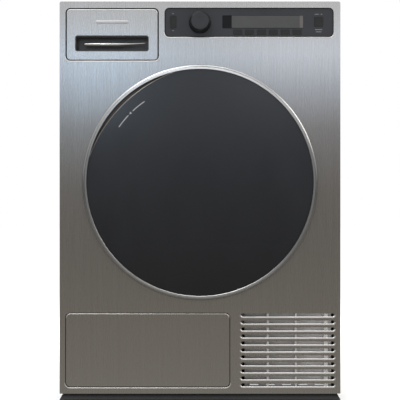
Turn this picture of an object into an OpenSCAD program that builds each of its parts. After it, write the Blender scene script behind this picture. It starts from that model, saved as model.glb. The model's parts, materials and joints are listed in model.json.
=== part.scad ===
// Front-loading heat-pump clothes dryer with a round right-hinged door.
// Millimetres, +X right, +Y to the back, +Z up, origin on the floor below the centre.

/* [Overall] */
// Width over the side panels
cabinet_w = 595; // [590:1:720]
// Height from the floor to the top of the worktop
cabinet_h = 850; // [845:1:1020]
// Depth from the front panel's face to the rear panel's face
cabinet_d = 594; // [575:1:715]
// Gap between the floor and the lower edge of the panels
plinth_h = 19; // [17:1:24]
// Thickness of the sheet steel
sheet_t = 1.2; // [0.8:0.1:1.4]
// Thickness of the worktop
worktop_t = 18; // [12:1:18]
// How far the base's upper edge is set in
skirt_inset = 6.7; // [3:0.1:8]

/* [Door] */
// Outer radius of the bright ring
door_ring_r = 247; // [205:1:250]
// Width of the bright ring
ring_w = 9; // [7:0.5:11]
// How far the door stands out from the front panel
door_proud = 24; // [24:1:28]
// How far the door's bowl reaches into the drum's neck
bowl_depth = 21; // [15:1:22]
// Depth of the crescent grip at its middle
grip_depth = 9; // [6:0.5:11]
// Half of the angle the crescent grip covers
grip_half_angle = 33; // [25:1:38]
// Radius of the hinge pin
hinge_pin_r = 2; // [1.5:0.1:2.4]

/* [Drum] */
// Outer radius of the drum
drum_r = 275; // [262:1:276]
// Height of the lifters inside the drum
lifter_h = 45; // [20:1:60]
// Radius of the supporting rollers
roller_r = 30; // [22:1:30]
// Radius of the rollers' axles
roller_axle_r = 6; // [4:0.5:8]
// Radius of the drum's rear spindle
spindle_r = 10; // [8:0.5:14]
// Length of the neck between the front panel and the drum
neck_l = 90; // [80:1:110]

/* [Lint filter] */
// Half of the width of the lint filter
filter_half_w = 95; // [60:1:95]
// Thickness of the lint filter
filter_t = 30; // [20:1:32]

/* [Water drawer] */
// Width of the drawer's opening
drawer_w = 196.4; // [180:0.1:197]
// Height of the drawer's opening
drawer_h = 111.3; // [105:0.1:112]
// Length of the water tank
tank_l = 430; // [300:1:440]
// Gap round the drawer's front
drawer_gap = 2.2; // [1.5:0.1:3]
// Width of the grip recess
recess_w = 153.4; // [120:0.1:160]
// Height of the grip recess
recess_h = 31; // [25:0.1:40]

/* [Controls] */
// Height of the control fascia
fascia_h = 61.4; // [58:0.1:62]
// Radius of the programme knob at its base
knob_r = 23.4; // [18:0.1:25]
// How far the knob stands out
knob_proud = 22; // [14:0.5:23]
// Width of the display window
display_w = 170.9; // [120:0.1:172]
// Width of each option button
option_w = 19; // [12:0.5:20]
// Distance between option buttons
option_pitch = 25.1; // [24:0.1:26]

/* [Service flap and grille] */
// Width of the flap's opening
flap_w = 348.4; // [300:0.1:350]
// Height of the flap's opening
flap_h = 157.7; // [130:0.1:158]
// Width of the grille's slots
slot_w = 198.2; // [150:0.1:199]
// Height of each slot
slot_h = 7; // [5:0.5:9]
// Distance between slots
slot_pitch = 14.8; // [12:0.1:15]

/* [Base] */
// Radius of the feet's pads
foot_r = 18; // [12:1:20]
// Radius of the feet's threaded stems
stem_r = 5; // [4:0.5:6]

/* [Hidden] */
$fn = 72;
rear_proud = 12;
run_gap = 0.05;
screw_r = 1.6;
half_w = cabinet_w / 2;
front_y = door_proud - (door_proud + cabinet_d + rear_proud) / 2;
rear_y = front_y + cabinet_d;
top_z = cabinet_h - worktop_t;
flange_d = 20;
body_y = front_y + flange_d + 0.6;

drawer_x0 = 13.2 - half_w;
drawer_x1 = drawer_x0 + drawer_w;
drawer_z1 = cabinet_h - 14.4;
drawer_z0 = drawer_z1 - drawer_h;
recess_x0 = drawer_x0 + (drawer_w - recess_w) / 2 - 0.6;
recess_z0 = drawer_z0 + 21.5;
tank_x0 = drawer_x0 + 6.3;
tank_x1 = drawer_x1 - 6.1;
tank_z0 = drawer_z0 + 17.7;
tank_z1 = cabinet_h - 24;

fascia_x0 = drawer_x1 + 13.4;
fascia_x1 = half_w - 14.9;
fascia_z1 = cabinet_h - 13.8;
fascia_z0 = fascia_z1 - fascia_h;
fascia_y = 0.8;
fascia_t = 3;
controls_z = cabinet_h - 44.5;
option_z = cabinet_h - 64.9;
display_x0 = 47.4;
display_z0 = cabinet_h - 56.8;
display_z1 = cabinet_h - 29.2;

flap_x0 = 12.5 - half_w;
flap_x1 = flap_x0 + flap_w;
flap_z0 = plinth_h + 13;
flap_z1 = flap_z0 + flap_h;
flap_axis_y = 6;
flap_axis_z = flap_z0 + 16.8;
slot_x1 = half_w - 12.4;
slot_x0 = slot_x1 - slot_w;
slot_z1 = plinth_h + 170;

door_z = (flap_z1 + drawer_z0) / 2 + 9;
ring_in_r = door_ring_r - ring_w;
frame_r = door_ring_r - 2;
hole_r = door_ring_r - 47;
neck_r = hole_r - 13;
bowl_r = neck_r - 5;
hinge_x = door_ring_r - 8;
hinge_d = 10.5 - door_proud;
eye_r = hinge_pin_r + 2.1;
hook_x = 25 - door_ring_r;

drum_in_r = drum_r - 1;
drum_d0 = neck_l + 3;
drum_y1 = rear_y - 50;
lip_r = drum_in_r - 6;
roller_c = drum_r + roller_r + 0.3;
roller_a = 30;

cover_x1 = 105;
cover_z = 168;
filter_d0 = 25;
filter_z0 = cover_z + 6;

motor_x = 190;
motor_z = 108;
motor_r = 52;
shaft_r = 6;
pulley_r = 7;
belt_gap = 0.4;
belt_t = 4;

steel = "silver";
dark = "dimgray";
black = "black";
plastic = "gray";
white = "white";

// ---- helpers ----

// Distance behind the front panel's face, as a Y coordinate
function F(d) = front_y + d;

// Distance in front of the rear panel's face, as a Y coordinate
function R(d) = rear_y - d;

// Block between two corners
module block(x0, x1, y0, y1, z0, z1) {
    translate([x0, y0, z0])
        cube([x1 - x0, y1 - y0, z1 - z0]);
}

// Sheet or slab between two Y planes, from an outline drawn in X and Z
module wall(y0, y1) {
    translate([0, y1, 0])
        rotate([90, 0, 0])
            linear_extrude(y1 - y0)
                children();
}

// Rounded rectangle in X and Z
module rounded(x0, x1, z0, z1, r) {
    translate([x0 + r, z0])
        square([x1 - x0 - 2 * r, z1 - z0]);
    translate([x0, z0 + r])
        square([x1 - x0, z1 - z0 - 2 * r]);
    for (x = [x0 + r, x1 - r], z = [z0 + r, z1 - r])
        translate([x, z])
            circle(r);
}

// Rod along Y
module rod_y(r, y0, y1, x, z) {
    translate([x, y0, z])
        rotate([-90, 0, 0])
            cylinder(r = r, h = y1 - y0);
}

// Tube along Y
module tube_y(r_out, r_in, y0, y1, x, z) {
    difference() {
        rod_y(r_out, y0, y1, x, z);
        rod_y(r_in, y0 - 1, y1 + 1, x, z);
    }
}

// Body turned about a Y axis, from a profile of radius and Y
module turned_y(x, z) {
    translate([x, 0, z])
        rotate([-90, 0, 0])
            rotate_extrude()
                children();
}

// ---- cabinet ----

// Outline of the front panel, set in by a margin
module panel_outline(m) {
    r = 4 - m;
    x = half_w - m;
    translate([-x, plinth_h + m])
        square([2 * x, cabinet_h - plinth_h - 2 * m - r]);
    translate([r - x, cabinet_h - m - r])
        square([2 * (x - r), r]);
    for (s = [-1, 1])
        translate([s * (x - r), cabinet_h - m - r])
            circle(r);
}

// Outline of the opening for the drawer, grown by a margin
module drawer_outline(m) {
    rounded(drawer_x0 - m, drawer_x1 + m, drawer_z0 - m, drawer_z1 + m, 10 + m);
}

// Outline of the opening for the fascia, grown by a margin
module fascia_outline(m) {
    rounded(fascia_x0 - m, fascia_x1 + m, fascia_z0 - m, fascia_z1 + m, 10 + m);
}

// One grille slot with round ends
module slot_outline(i) {
    z1 = slot_z1 - i * slot_pitch;
    rounded(slot_x0, slot_x1, z1 - slot_h, z1, slot_h / 2 - 0.01);
}

// Sheet-steel front with its returned edge and all of its openings
module front_panel() color(steel) difference() {
    union() {
        wall(F(0), F(sheet_t))
            panel_outline(0);
        wall(F(0), F(flange_d)) difference() {
            panel_outline(0);
            panel_outline(sheet_t);
        }
    }
    rod_y(hole_r, F(-1), F(sheet_t + 1), 0, door_z);
    wall(F(-1), F(sheet_t + 1))
        drawer_outline(0);
    wall(F(-1), F(sheet_t + 1))
        fascia_outline(0);
    wall(F(-1), F(sheet_t + 1))
        rounded(flap_x0, flap_x1, flap_z0, flap_z1, 10);
    for (i = [0:10])
        wall(F(-1), F(sheet_t + 1))
            slot_outline(i);
    block(hook_x - 7, hook_x + 8, F(-1), F(sheet_t + 1), door_z - 10, door_z + 10);
}

// Left side panel as a tray with inward edges
module side_left() {
    x0 = -half_w;
    block(x0, x0 + sheet_t, body_y, R(sheet_t), plinth_h, top_z);
    block(x0, x0 + 12, body_y, body_y + sheet_t, plinth_h, top_z);
    block(x0, x0 + 12, R(2 * sheet_t), R(sheet_t), plinth_h, top_z);
    block(x0, x0 + 12, body_y, R(sheet_t), plinth_h, plinth_h + sheet_t);
    block(x0, x0 + 12, body_y, R(sheet_t), top_z - sheet_t, top_z);
}

// Left side panel
module side_panel_left() color(steel) side_left();

// Right side panel, the mirror image of the left one
module side_panel_right() color(steel) mirror([1, 0, 0]) side_left();

// Laminated worktop slab with rounded rear corners
module worktop() color(white) {
    block(-half_w, half_w, body_y, R(12), top_z, cabinet_h);
    block(12 - half_w, half_w - 12, R(13), R(0), top_z, cabinet_h);
    for (s = [-1, 1])
        translate([s * (half_w - 12), R(12), top_z])
            cylinder(r = 12, h = worktop_t);
}

// Rear panel with the bearing's hole, the air holes and the fittings' holes
module rear_panel() color(plastic) difference() {
    union() {
        block(-half_w, half_w, R(sheet_t), R(0), plinth_h, top_z);
        block(14 - half_w, half_w - 14, R(20), R(0), plinth_h, plinth_h + sheet_t);
    }
    for (a = [0:45:315])
        rod_y(35, R(3), R(-1), 150 * cos(a), door_z + 150 * sin(a));
    rod_y(11, R(3), R(-1), -230, plinth_h + 51);
    rod_y(8, R(3), R(-1), -200, top_z - 42);
    for (p = screw_places())
        rod_y(screw_r + 0.1, R(3), R(-1), p[0], p[1]);
}

// Pressed cover over the rear air duct
module rear_duct_cover() color(steel) difference() {
    turned_y(0, door_z) polygon([
        [0, R(-rear_proud)], [205, R(-rear_proud)], [215, R(-1.2)], [235, R(-1.2)],
        [235, R(0)], [213.5, R(0)], [204, R(1.2 - rear_proud)], [0, R(1.2 - rear_proud)]
    ]);
    for (s = [-1, 1], i = [-3:3])
        block(s * 100 - 40, s * 100 + 40, R(-4), R(-rear_proud - 1),
            door_z + i * 16 - 2.5, door_z + i * 16 + 2.5);
}

// Dark base moulding with a bevelled skirt
module base_pan() color(black) {
    z0 = 5;
    zm = plinth_h - 12;
    yc = (front_y + rear_y) / 2;
    difference() {
        intersection() {
            translate([0, rear_y, 0])
                rotate([90, 0, 0])
                    linear_extrude(cabinet_d) polygon([
                        [-half_w, z0], [half_w, z0], [half_w, zm],
                        [half_w - skirt_inset, plinth_h], [skirt_inset - half_w, plinth_h],
                        [-half_w, zm]
                    ]);
            translate([-half_w, 0, 0])
                rotate([90, 0, 90])
                    linear_extrude(cabinet_w) polygon([
                        [front_y, z0], [rear_y, z0], [rear_y, zm],
                        [rear_y - skirt_inset, plinth_h], [front_y + skirt_inset, plinth_h],
                        [front_y, zm]
                    ]);
        }
        block(12 - half_w, half_w - 12, F(12), R(12), z0 - 1, plinth_h - 4);
        for (p = foot_places())
            translate([p[0], p[1], 0])
                cylinder(r = stem_r + run_gap, h = 60);
    }
    for (p = foot_places())
        translate([p[0], p[1], plinth_h - 5])
            difference() {
                cylinder(r = stem_r + 5, h = 16);
                translate([0, 0, -1])
                    cylinder(r = stem_r + run_gap, h = 20);
            }
}

// Centres of the four feet
function foot_places() = [
    [35 - half_w, F(37)], [half_w - 35, F(37)],
    [35 - half_w, R(40)], [half_w - 35, R(40)]
];

// One adjustable foot
module foot(i) {
    p = foot_places()[i];
    translate([p[0], p[1], 0]) {
        cylinder(r1 = foot_r, r2 = foot_r - 2, h = 4);
        cylinder(r = foot_r - 5, h = 8);
        cylinder(r = stem_r, h = plinth_h + 14);
    }
}

// Front left foot
module foot_front_left() color(black) foot(0);

// Front right foot
module foot_front_right() color(black) foot(1);

// Rear left foot
module foot_rear_left() color(black) foot(2);

// Rear right foot
module foot_rear_right() color(black) foot(3);

// Centres of the rear panel's screws
function screw_places() = [
    for (x = [-1, 0, 1], z = [plinth_h + 16, top_z - 12]) [x * (half_w - 22), z],
    for (x = [-1, 1], z = [0.35, 0.68]) [x * (half_w - 8), z * cabinet_h]
];

// Screws that hold the rear panel
module panel_screws() color(steel) {
    for (p = screw_places()) {
        rod_y(4, R(0), R(-2), p[0], p[1]);
        rod_y(screw_r, R(sheet_t), R(0), p[0], p[1]);
    }
}

// Cable gland in the rear panel
module mains_inlet() color(black) difference() {
    union() {
        rod_y(16, R(0), R(-3), -230, plinth_h + 51);
        rod_y(11, R(8), R(-9), -230, plinth_h + 51);
        rod_y(15, R(7), R(sheet_t), -230, plinth_h + 51);
    }
    rod_y(4.5, R(9), R(-10), -230, plinth_h + 51);
}

// Spigot for a drain hose
module drain_spigot() color(white) difference() {
    union() {
        rod_y(14, R(0), R(-2), -200, top_z - 42);
        rod_y(8, R(20), R(-rear_proud), -200, top_z - 42);
        rod_y(13, R(5), R(sheet_t), -200, top_z - 42);
    }
    rod_y(5.5, R(21), R(-rear_proud - 1), -200, top_z - 42);
}

// ---- controls ----

// Outline of a control's hole in the fascia
module control_outline(x, z, w, h, m) {
    rounded(x - w / 2 - m, x + w / 2 + m, z - h / 2 - m, z + h / 2 + m, 1.5 + m / 2);
}

// One push button with a retaining edge and a stem
module push_button(x, z, w, h) {
    wall(F(fascia_y - 0.5), F(fascia_y + fascia_t + 1))
        control_outline(x, z, w, h, -0.3);
    wall(F(fascia_y + fascia_t + 0.3), F(fascia_y + fascia_t + 1.8))
        control_outline(x, z, w, h, 0.9);
    rod_y(2, F(fascia_y + fascia_t + 1), F(14.2), x, z);
}

// Dark control fascia with holes for everything it carries
module control_fascia() color(dark) {
    difference() {
        union() {
            wall(F(fascia_y), F(fascia_y + fascia_t))
                fascia_outline(-1);
            wall(F(sheet_t), F(fascia_y + fascia_t))
                fascia_outline(5);
        }
        wall(F(-1), F(6))
            control_outline(-57, controls_z + 1.2, 13.6, 26.5, 0);
        wall(F(-1), F(6))
            control_outline(251.5, controls_z + 1.5, 18.7, 21.3, 0);
        wall(F(-1), F(6))
            rounded(display_x0, display_x0 + display_w, display_z0, display_z1, 2);
        for (i = [0:5])
            wall(F(-1), F(6))
                control_outline(80.1 + option_pitch * i, option_z, option_w, 10.8, 0);
        rod_y(4, F(-1), F(6), 0, controls_z);
    }
    for (x = [-69, 274], z = [fascia_z0 + 6, fascia_z1 - 6])
        rod_y(2.5, F(fascia_y + fascia_t), F(16), x, z);
}

// Display window
module display_window() color(black) {
    wall(F(fascia_y - 0.2), F(fascia_y + fascia_t))
        rounded(display_x0, display_x0 + display_w, display_z0, display_z1, 2);
    wall(F(fascia_y + fascia_t), F(fascia_y + fascia_t + 1.5))
        rounded(display_x0 - 1, display_x0 + display_w + 1, display_z0 - 0.8, display_z1 + 3, 1);
}

// Circuit board behind the fascia
module control_board() color("green") {
    block(-73, 278, F(16), F(17.6), fascia_z0 + 2, fascia_z1 - 2);
    block(-40, 10, F(17.6), F(32), fascia_z0 + 6, fascia_z0 + 36);
    block(40, 90, F(17.6), F(30), fascia_z0 + 6, fascia_z0 + 30);
    block(display_x0 + 10, display_x0 + 150, F(8), F(16), display_z0 + 3, display_z1 - 3);
    block(150, 230, F(17.6), F(26), fascia_z0 + 8, fascia_z0 + 40);
}

// Power button
module power_button() color(dark) push_button(-57, controls_z + 1.2, 13.6, 26.5);

// Option button at a place in the row
module option(i) {
    push_button(80.1 + option_pitch * i, option_z, option_w, 10.8);
}

// First option button
module option_button_1() color(dark) option(0);

// Second option button
module option_button_2() color(dark) option(1);

// Third option button
module option_button_3() color(dark) option(2);

// Fourth option button
module option_button_4() color(dark) option(3);

// Fifth option button
module option_button_5() color(dark) option(4);

// Sixth option button
module option_button_6() color(dark) option(5);

// Start button
module start_button() color(dark) push_button(251.5, controls_z + 1.5, 18.7, 21.3);

// Programme knob with its shaft
module program_knob() color(dark) {
    f = -knob_proud;
    turned_y(0, controls_z) polygon([
        [0, F(f)], [knob_r - 4.6, F(f)], [knob_r - 3.8, F(f + 0.8)], [knob_r - 1.4, F(-4)],
        [knob_r, F(-1.5)], [knob_r, F(0.4)], [0, F(0.4)]
    ]);
    rod_y(3, F(0.4), F(15.6), 0, controls_z);
}

// ---- water drawer ----

// Front of the water drawer, level with the front panel
module drawer_front() color(steel) difference() {
    union() {
        wall(F(0), F(3))
            drawer_outline(-drawer_gap);
        wall(F(3), F(12))
            drawer_outline(-drawer_gap - 4);
    }
    wall(F(-1), F(13))
        rounded(recess_x0 - 1.5, recess_x0 + recess_w + 1.5,
            recess_z0 - 1.5, recess_z0 + recess_h + 1.5, 5.5);
}

// Cup behind the drawer's grip recess
module drawer_grip() color(dark) difference() {
    wall(F(0.5), F(35))
        rounded(recess_x0 - 1.5, recess_x0 + recess_w + 1.5,
            recess_z0 - 1.5, recess_z0 + recess_h + 1.5, 5.5);
    wall(F(-1), F(33))
        rounded(recess_x0, recess_x0 + recess_w, recess_z0, recess_z0 + recess_h, 4);
}

// Water tank as an open trough that hangs on the drawer's front
module water_tank() color(white) difference() {
    block(tank_x0, tank_x1, F(12), F(40 + tank_l), tank_z0, tank_z1);
    block(tank_x0 + 2.5, tank_x1 - 2.5, F(41), F(37.5 + tank_l), tank_z0 + 2.5, tank_z1 + 1);
    block(tank_x0 + 2.5, tank_x1 - 2.5, F(11), F(38.5), tank_z0 - 1, tank_z1 + 1);
}

// Sleeve that guides the water tank, with a collar behind the front panel
module tank_housing() color(plastic) {
    x0 = tank_x0 - 1;
    x1 = tank_x1 + 1;
    z0 = tank_z0 - 1;
    z1 = tank_z1 + 1.5;
    wall(F(sheet_t), F(14)) difference() {
        drawer_outline(3);
        drawer_outline(0);
    }
    difference() {
        union() {
            wall(F(14), F(16))
                drawer_outline(3);
            block(x0 - 2.5, x1 + 2.5, F(16), F(50 + tank_l), z0 - 2.5, z1 + 2.5);
        }
        block(x0, x1, F(10), F(47.5 + tank_l), z0, z1);
    }
}

// ---- door ----

// Crescent between the glass and the ring where fingers go in
module grip_crescent() {
    shift = (pow(ring_in_r, 2) - pow(ring_in_r - grip_depth, 2))
        / (2 * (ring_in_r - grip_depth - ring_in_r * cos(grip_half_angle)));
    difference() {
        circle(ring_in_r - 0.2);
        rotate(135)
            translate([-shift, 0])
                circle(ring_in_r - grip_depth + shift);
    }
}

// Bright ring round the door
module door_ring() color(steel) turned_y(0, door_z) intersection() {
    union() {
        translate([ring_in_r, F(4 - door_proud)])
            square([ring_w, 1.5]);
        translate([ring_in_r, F(-door_proud)])
            square([ring_w - 4, 5.5]);
        translate([door_ring_r - 4, F(4 - door_proud)])
            circle(4);
    }
    translate([ring_in_r, F(-door_proud)])
        square([ring_w, 5.5]);
}

// Dark glass with the grip cut out of its edge
module door_glass() color(black) wall(F(3 - door_proud), F(6 - door_proud))
    translate([0, door_z]) difference() {
        circle(ring_in_r - 0.4);
        grip_crescent();
    }

// Hollow frame behind the glass and the ring
module door_frame() color(dark) difference() {
    turned_y(0, door_z) polygon([
        [neck_r - 7, F(6 - door_proud)], [ring_in_r, F(6 - door_proud)],
        [ring_in_r, F(5.5 - door_proud)], [frame_r, F(5.5 - door_proud)],
        [frame_r, F(-8)], [frame_r - 4, F(-4)], [neck_r + 9, F(-4)],
        [neck_r + 9, F(8.5 - door_proud)], [neck_r - 7, F(8.5 - door_proud)]
    ]);
    turned_y(0, door_z) polygon([
        [neck_r + 12, F(8.5 - door_proud)], [frame_r - 3, F(8.5 - door_proud)],
        [frame_r - 3, F(-9)], [frame_r - 5.5, F(-6.5)], [neck_r + 12, F(-6.5)]
    ]);
    wall(F(5 - door_proud), F(9 - door_proud))
        translate([0, door_z])
            grip_crescent();
    block(hinge_x - 20, hinge_x + 20, F(5 - door_proud), F(-1), door_z - 42, door_z + 42);
    block(hinge_x - 42, hinge_x + 20, F(9 - door_proud), F(-1), door_z - 42, door_z + 42);
}

// Bowl on the inside of the door
module door_liner() color(plastic) turned_y(0, door_z) polygon([
    [0, F(bowl_depth)], [bowl_r - 12, F(bowl_depth)], [bowl_r, F(-2)],
    [neck_r + 12, F(-2)], [neck_r + 12, F(-4)], [bowl_r - 2.5, F(-4)],
    [bowl_r - 14.4, F(bowl_depth - 2.5)], [0, F(bowl_depth - 2.5)]
]);

// Hinge half on the door
module door_hinge_arm() color(steel) difference() {
    union() {
        translate([hinge_x, F(hinge_d), door_z - 20])
            cylinder(r = eye_r, h = 40);
        block(hinge_x - 36, hinge_x - 1, F(8.5 - door_proud), F(11.5 - door_proud),
            door_z - 20, door_z + 20);
    }
    translate([hinge_x, F(hinge_d), door_z - 21])
        cylinder(r = hinge_pin_r + run_gap, h = 42);
}

// Hinge half on the front panel
module hinge_bracket() color(steel) difference() {
    union() {
        block(hinge_x - 36, hinge_x - 10, F(-2), F(0), door_z - 36, door_z + 36);
        for (s = [-1, 1])
            translate([0, 0, door_z + s * 27 - 3]) {
                block(hinge_x - 18, hinge_x - 11, F(hinge_d - 3), F(-2), 0, 6);
                block(hinge_x - 18, hinge_x, F(hinge_d - 3), F(hinge_d + 3), 0, 6);
                translate([hinge_x, F(hinge_d), 0])
                    cylinder(r = eye_r, h = 6);
            }
    }
    translate([hinge_x, F(hinge_d), door_z - 40])
        cylinder(r = hinge_pin_r + run_gap, h = 80);
}

// Pin of the door's hinge, with a head on the upper eye
module hinge_pin() color(steel) translate([hinge_x, F(hinge_d), door_z]) {
    translate([0, 0, -32])
        cylinder(r = hinge_pin_r, h = 62);
    translate([0, 0, 30])
        cylinder(r = hinge_pin_r + 1.2, h = 2);
}

// Hook on the back of the door
module door_hook() color(plastic) {
    block(hook_x - 3, hook_x + 3, F(-4), F(14), door_z - 6, door_z + 6);
    block(hook_x - 4.5, hook_x + 4.5, F(10), F(14), door_z - 6, door_z + 6);
    block(hook_x - 8, hook_x + 8, F(-4), F(-2), door_z - 8, door_z + 8);
}

// Housing that receives the hook
module door_catch() color(dark) difference() {
    block(hook_x - 13, hook_x + 13, F(sheet_t + 3), F(24), door_z - 14, door_z + 14);
    block(hook_x - 8, hook_x + 9, F(0), F(21), door_z - 10, door_z + 10);
}

// Rubber ring in the mouth of the neck
module door_seal() color(black)
    tube_y(neck_r, neck_r - 4, F(2), F(8), 0, door_z);

// ---- neck, lint filter and drum ----

// Centre of a roller, on the left (-1) or on the right (1)
function roller_at(s) = [s * roller_c * sin(roller_a), door_z - roller_c * cos(roller_a)];

// Moulded neck with the lint duct, the roller lugs and their axles
module front_bulkhead() color(plastic) {
    fd1 = filter_d0 + filter_t;
    difference() {
        union() {
            tube_y(hole_r + 35, neck_r, F(sheet_t), F(sheet_t + 3), 0, door_z);
            tube_y(neck_r + 3, neck_r, F(sheet_t), F(neck_l), 0, door_z);
            tube_y(drum_r + 5, neck_r, F(neck_l - 4), F(neck_l), 0, door_z);
            tube_y(lip_r, lip_r - 3, F(neck_l - 1), F(neck_l + 16), 0, door_z);
            difference() {
                block(-filter_half_w - 4, filter_half_w + 4, F(filter_d0 - 3),
                    F(fd1 + 3), cover_z, door_z - neck_r / 2);
                rod_y(neck_r, F(0), F(neck_l), 0, door_z);
            }
            for (s = [-1, 1]) {
                wall(F(neck_l - 4), F(neck_l))
                    translate([0, door_z])
                        rotate(s * roller_a)
                            translate([-18, -roller_c])
                                square([36, roller_c - drum_r + 6]);
                rod_y(18, F(neck_l - 4), F(neck_l), roller_at(s)[0], roller_at(s)[1]);
                rod_y(roller_axle_r, F(neck_l - 1), F(neck_l + 24),
                    roller_at(s)[0], roller_at(s)[1]);
                rod_y(roller_axle_r + 3, F(neck_l - 1), F(neck_l + 1),
                    roller_at(s)[0], roller_at(s)[1]);
            }
        }
        block(-filter_half_w - 0.5, filter_half_w + 0.5, F(filter_d0 - 0.5), F(fd1 + 0.5),
            filter_z0, door_z);
        block(-filter_half_w + 4, filter_half_w - 4, F(filter_d0 + 3), F(fd1 - 3),
            cover_z - 1, door_z);
        block(hook_x - 8, hook_x + 9, F(0), F(6), door_z - 10, door_z + 10);
    }
}

// Lint filter cassette, cut level with the neck
module lint_filter() color(white) {
    fd1 = filter_d0 + filter_t;
    difference() {
        block(-filter_half_w, filter_half_w, F(filter_d0), F(fd1), filter_z0, door_z - neck_r / 2);
        rod_y(neck_r, F(0), F(neck_l), 0, door_z);
        block(-filter_half_w + 3, filter_half_w - 3, F(filter_d0 + 3), F(fd1 - 3),
            filter_z0 - 1, door_z);
        for (x = [-0.75, -0.25, 0.25, 0.75])
            block(x * filter_half_w - filter_half_w * 0.2, x * filter_half_w + filter_half_w * 0.2,
                F(filter_d0 - 1), F(fd1 + 1), filter_z0 + 10, door_z - neck_r - 12);
    }
}

// Drum shell
module drum_shell() color(steel)
    tube_y(drum_r, drum_in_r, F(drum_d0), drum_y1, 0, door_z);

// Three lifters on the inside of the drum
module drum_lifters() color(steel) {
    for (a = [90, 210, 330])
        wall(F(drum_d0 + 22), drum_y1 - 4)
            translate([0, door_z]) intersection() {
                circle(drum_in_r);
                rotate(a)
                    polygon([
                        [drum_in_r + 3, -34], [drum_in_r + 3, 34],
                        [drum_in_r - lifter_h, 11], [drum_in_r - lifter_h, -11]
                    ]);
            }
}

// Perforated rear wall of the drum with its spindle
module drum_rear_wall() color(steel) {
    wall(drum_y1, drum_y1 + 2)
        translate([0, door_z]) difference() {
            circle(drum_r);
            for (k = [0:4], a = [0:20:359])
                rotate(a + k * 10)
                    translate([drum_in_r * (0.42 + 0.11 * k), 0])
                        circle(5);
        }
    rod_y(60, drum_y1 + 2, drum_y1 + 8, 0, door_z);
    rod_y(spindle_r, drum_y1 + 8, R(8), 0, door_z);
}

// Bearing housing on the rear panel
module rear_bearing() color(dark) difference() {
    union() {
        rod_y(spindle_r + 14, R(24), R(sheet_t), 0, door_z);
        rod_y(70, R(6), R(sheet_t), 0, door_z);
    }
    rod_y(spindle_r + run_gap, R(25), R(0), 0, door_z);
}

// One drum roller
module roller(s) {
    c = roller_at(s);
    difference() {
        union() {
            rod_y(roller_r, F(neck_l + 4), F(neck_l + 22), c[0], c[1]);
            rod_y(roller_axle_r + 6, F(neck_l + 1.5), F(neck_l + 23), c[0], c[1]);
        }
        rod_y(roller_axle_r + run_gap, F(neck_l), F(neck_l + 30), c[0], c[1]);
    }
}

// Left drum roller
module drum_roller_left() color(black) roller(-1);

// Right drum roller
module drum_roller_right() color(black) roller(1);

// ---- drive and air ----

// Elastic belt round the drum and the motor's pulley
module drive_belt() color(black) {
    r1 = drum_r + belt_gap;
    r2 = pulley_r + belt_gap;
    d = norm([motor_x, motor_z - door_z]);
    t = acos((r1 - r2) / d);
    run = sqrt(d * d - pow(r1 - r2, 2));
    far = 2 * d;
    wall(R(83), R(73))
        translate([0, door_z])
            rotate(atan2(motor_z - door_z, motor_x)) {
                difference() {
                    circle(r1 + belt_t);
                    circle(r1);
                    polygon([[0, 0], far * [cos(t), -sin(t)], [far, 0], far * [cos(t), sin(t)]]);
                }
                translate([d, 0]) intersection() {
                    difference() {
                        circle(r2 + belt_t);
                        circle(r2);
                    }
                    polygon([[0, 0], far * [cos(t), -sin(t)], [far, 0], far * [cos(t), sin(t)]]);
                }
                for (s = [-1, 1])
                    rotate(s * t)
                        translate([r1 + 0.2, (s > 0 ? -run : 0) - 1.5])
                            square([belt_t - 0.4, run + 3]);
            }
}

// Motor on its cradle
module drive_motor() color(dark) difference() {
    union() {
        rod_y(motor_r, R(230), R(110), motor_x, motor_z);
        rod_y(motor_r - 12, R(236), R(104), motor_x, motor_z);
        for (y = [R(215), R(133)])
            block(motor_x - 42, motor_x + 42, y, y + 8, plinth_h, motor_z);
        block(motor_x - 50, motor_x + 50, R(220), R(120), plinth_h, plinth_h + 4);
    }
    rod_y(shaft_r + run_gap, R(240), R(100), motor_x, motor_z);
}

// Motor shaft with the belt pulley
module motor_shaft() color(steel) {
    rod_y(shaft_r, R(316), R(66), motor_x, motor_z);
    rod_y(pulley_r, R(86), R(70), motor_x, motor_z);
    rod_y(pulley_r + 6, R(89), R(86), motor_x, motor_z);
    rod_y(pulley_r + 6, R(70), R(67), motor_x, motor_z);
}

// Blower wheel
module blower_impeller() color(dark) difference() {
    union() {
        rod_y(66, R(260), R(257), motor_x, motor_z);
        rod_y(shaft_r + 6, R(312), R(257), motor_x, motor_z);
        for (a = [0:24:359])
            translate([motor_x, R(312), motor_z])
                rotate([0, a, 0])
                    translate([46, 0, 0])
                        cube([18, 53, 2]);
    }
    rod_y(shaft_r, R(320), R(250), motor_x, motor_z);
}

// Blower housing with an inlet in front and an outlet above
module blower_housing() color(plastic) difference() {
    union() {
        rod_y(78, R(320), R(250), motor_x, motor_z);
        block(motor_x + 20, motor_x + 78, R(320), R(250), motor_z, motor_z + 110);
        block(motor_x - 30, motor_x + 30, R(320), R(250), plinth_h, motor_z);
    }
    rod_y(75.5, R(317.5), R(252.5), motor_x, motor_z);
    block(motor_x + 22.5, motor_x + 75.5, R(317.5), R(252.5), motor_z, motor_z + 111);
    rod_y(46, R(321), R(310), motor_x, motor_z);
    rod_y(9, R(255), R(249), motor_x, motor_z);
}

// Refrigerant compressor on its mounts
module compressor() color(black) {
    cx = 222;
    cy = F(192);
    translate([cx, cy, plinth_h]) {
        for (x = [-38, 38], y = [-38, 38])
            translate([x, y, 0])
                cylinder(r = 9, h = 7);
        translate([-52, -52, 6])
            cube([104, 104, 3]);
        translate([0, 0, 8])
            cylinder(r = 50, h = 8);
        translate([0, 0, 15])
            cylinder(r = 54, h = 130);
        intersection() {
            translate([0, 0, 95])
                sphere(r = 74);
            translate([0, 0, 144])
                cylinder(r = 54, h = 40);
        }
        translate([-20, 0, 160])
            cylinder(r = 5, h = 24);
        translate([20, 10, 155])
            cylinder(r = 4, h = 24);
    }
}

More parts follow.
